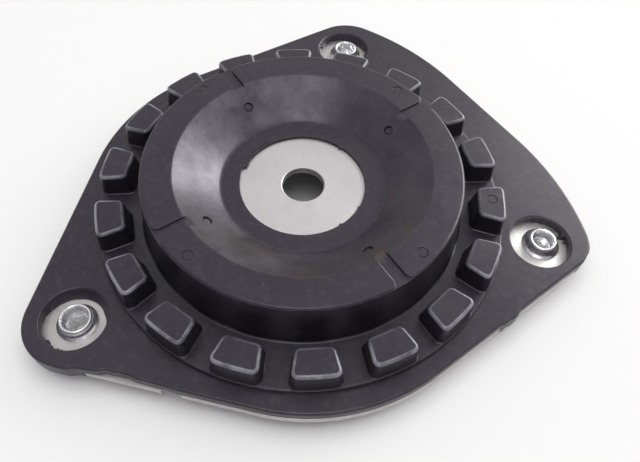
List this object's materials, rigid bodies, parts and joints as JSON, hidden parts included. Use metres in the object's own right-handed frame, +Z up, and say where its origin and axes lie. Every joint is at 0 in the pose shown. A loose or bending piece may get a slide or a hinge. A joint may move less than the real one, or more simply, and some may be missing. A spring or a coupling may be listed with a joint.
{
  "type": "strut mount",
  "caption": "Triangular strut top mount: a rubber moulding with a ring of bump blocks round a dish with a rod bore, bonded to a stamped plate with clinched nuts.",
  "frame": {"origin": "under the middle of the outline, in the plane of the three nuts' feet", "axes": "+Z up along the strut's rod, +Y towards the side with two nuts"},
  "size_m": [0.1526, 0.1874, 0.0315],
  "materials": {
    "rubber": "moulded, matt with a faint grey bloom",
    "plate_steel": "zinc plated, matt",
    "cup_steel": "bare, matt",
    "nut_steel": "zinc plated, satin"
  },
  "bodies": {
    "root": {"rubber_body": "rubber", "carrier_plate": "plate_steel", "inner_cup": "cup_steel", "clinch_nut_front": "nut_steel", "clinch_nut_right": "nut_steel", "clinch_nut_left": "nut_steel"}
  },
  "joints": []
}
